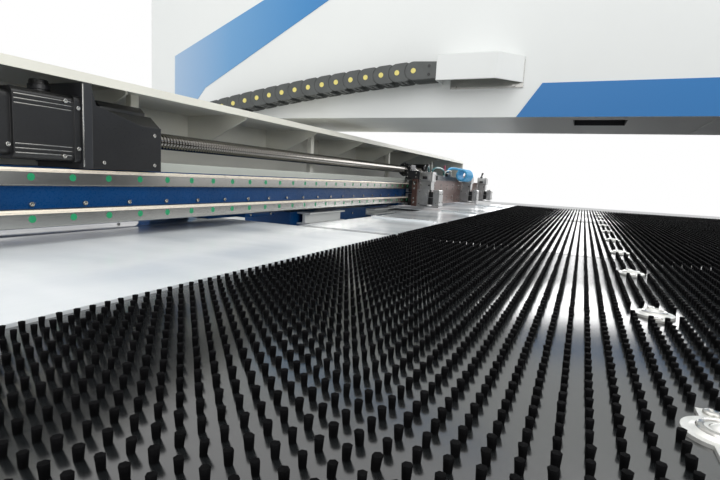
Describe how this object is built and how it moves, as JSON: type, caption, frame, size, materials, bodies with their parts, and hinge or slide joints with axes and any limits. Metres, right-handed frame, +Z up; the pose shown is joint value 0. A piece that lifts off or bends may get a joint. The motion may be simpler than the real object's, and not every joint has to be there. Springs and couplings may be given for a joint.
{
  "type": "turret punch press",
  "caption": "Closed-frame turret punch press with a brush table, a cross beam that carries clamps, and upper and lower tool turrets.",
  "frame": {"origin": "on the floor, under the middle of the machine", "axes": "+X towards the loading end where the X motor is, +Y from the beam side to the turret side, +Z up"},
  "size_m": [4.531, 4.2, 2.45],
  "materials": {
    "frame_white": "satin",
    "stripe_blue": "satin",
    "machine_blue": "satin",
    "cover_cream": "satin",
    "plate_white": "satin",
    "dark_grey": "satin",
    "black_paint": "satin",
    "bronze_paint": "satin",
    "steel": "brushed",
    "dark_steel": "brushed",
    "cast": "matte",
    "brush": "matte",
    "cap_green": "glossy",
    "chain_grey": "matte",
    "plug_cream": "matte",
    "strip_cream": "satin",
    "hose_teal": "matte",
    "hose_blue": "glossy"
  },
  "bodies": {
    "base": {"frame": "frame_white", "side_stripes": "stripe_blue", "levelling_feet": "dark_grey", "terminal_box": "frame_white", "box_plate": "steel", "hydraulic_cylinder": "dark_grey", "ram_guide": "dark_grey", "turret_bearings": "dark_grey", "turret_motor": "black_paint", "centre_table": "frame_white", "centre_brushes": "brush", "centre_plates": "plate_white", "centre_ball_units": "steel", "y_bases": "machine_blue", "y_rails": "steel", "y_motors": "black_paint", "y_bearings": "black_paint", "rear_cross_beam": "machine_blue", "table_brackets": "frame_white", "cable_chain": "chain_grey", "chain_plugs": "plug_cream"},
    "beam": {"x_beam": "machine_blue", "beam_cover": "cover_cream", "light_strip": "strip_cream", "x_rails": "steel", "rail_caps": "cap_green", "x_motor": "black_paint", "x_motor_plate": "dark_grey", "coupling_housing": "black_paint", "x_end_bearing": "black_paint", "chain_bracket": "dark_grey", "wing_frames": "frame_white", "y_slides": "machine_blue", "y_blocks": "dark_steel", "wing_brushes": "brush", "wing_plates": "plate_white", "wing_ball_units": "steel"},
    "carriage": {"carriage_plate": "bronze_paint", "x_blocks": "dark_steel", "x_nut": "dark_grey", "clamp_bases": "dark_steel", "clamp_pins": "steel", "clamp_cylinders": "dark_steel", "clamp_sensors": "black_paint", "air_manifold": "dark_grey", "teal_hose": "hose_teal", "blue_hose": "hose_blue"},
    "jaw_1": {"clamp_jaw_1": "dark_steel"},
    "jaw_2": {"clamp_jaw_2": "dark_steel"},
    "jaw_3": {"clamp_jaw_3": "dark_steel"},
    "x_screw": {"x_screw": "steel"},
    "y_screw_near": {"y_screw_near": "steel"},
    "y_screw_far": {"y_screw_far": "steel"},
    "upper_turret": {"upper_turret": "cast", "punch_tools": "dark_steel"},
    "struck_punch": {"struck_punch": "dark_steel"},
    "lower_turret": {"lower_turret": "cast", "die_tools": "dark_steel"},
    "line_shaft": {"line_shaft": "steel"},
    "ram": {"ram": "steel"}
  },
  "joints": [
    {"name": "beam_slide", "type": "slide", "parent": "base", "child": "beam", "axis": [0, 1, 0], "range_m": [0, 1.25], "deforming": ["cable_chain", "chain_plugs"]},
    {"name": "carriage_slide", "type": "slide", "parent": "beam", "child": "carriage", "axis": [1, 0, 0], "range_m": [0, 1.7]},
    {"name": "jaw_1_pivot", "type": "hinge", "parent": "carriage", "child": "jaw_1", "pos_m": [-0.4805, -0.967, 0.997], "axis": [1, 0, 0], "range_deg": [0, 7]},
    {"name": "jaw_2_pivot", "type": "hinge", "parent": "carriage", "child": "jaw_2", "pos_m": [-1.5305, -0.967, 0.997], "axis": [1, 0, 0], "range_deg": [0, 7]},
    {"name": "jaw_3_pivot", "type": "hinge", "parent": "carriage", "child": "jaw_3", "pos_m": [-2.1305, -0.967, 0.997], "axis": [1, 0, 0], "range_deg": [0, 7]},
    {"name": "x_screw_spin", "type": "hinge", "parent": "beam", "child": "x_screw", "pos_m": [0.2015, -1.125, 1.135], "axis": [1, 0, 0], "continuous": true},
    {"name": "y_screw_near_spin", "type": "hinge", "parent": "base", "child": "y_screw_near", "pos_m": [1.1015, 0.45, 0.77], "axis": [0, 1, 0], "continuous": true},
    {"name": "y_screw_far_spin", "type": "hinge", "parent": "base", "child": "y_screw_far", "pos_m": [-0.6985, 0.45, 0.77], "axis": [0, 1, 0], "continuous": true},
    {"name": "upper_turret_turn", "type": "hinge", "parent": "base", "child": "upper_turret", "pos_m": [0.2015, 0.85, 1.035], "axis": [0, 0, 1], "continuous": true},
    {"name": "lower_turret_turn", "type": "hinge", "parent": "base", "child": "lower_turret", "pos_m": [0.2015, 0.85, 0.85], "axis": [0, 0, 1], "continuous": true},
    {"name": "line_shaft_turn", "type": "hinge", "parent": "base", "child": "line_shaft", "pos_m": [0.2015, 1.368, 1.4], "axis": [0, 0, 1], "continuous": true},
    {"name": "ram_stroke", "type": "slide", "parent": "base", "child": "ram", "axis": [0, 0, 1], "range_m": [-0.037, 0]},
    {"name": "punch_stroke", "type": "slide", "parent": "upper_turret", "child": "struck_punch", "axis": [0, 0, 1], "range_m": [-0.037, 0]}
  ],
  "couplings": [
    {"joint": "x_screw_spin", "follows": "carriage_slide", "rad_per_m": -125.66},
    {"joint": "y_screw_near_spin", "follows": "beam_slide", "rad_per_m": -125.66},
    {"joint": "y_screw_far_spin", "follows": "beam_slide", "rad_per_m": -125.66},
    {"joint": "jaw_2_pivot", "follows": "jaw_1_pivot", "ratio": 1},
    {"joint": "jaw_3_pivot", "follows": "jaw_1_pivot", "ratio": 1},
    {"joint": "lower_turret_turn", "follows": "upper_turret_turn", "ratio": 1},
    {"joint": "line_shaft_turn", "follows": "upper_turret_turn", "ratio": -8.25},
    {"joint": "punch_stroke", "follows": "ram_stroke", "ratio": 1}
  ]
}
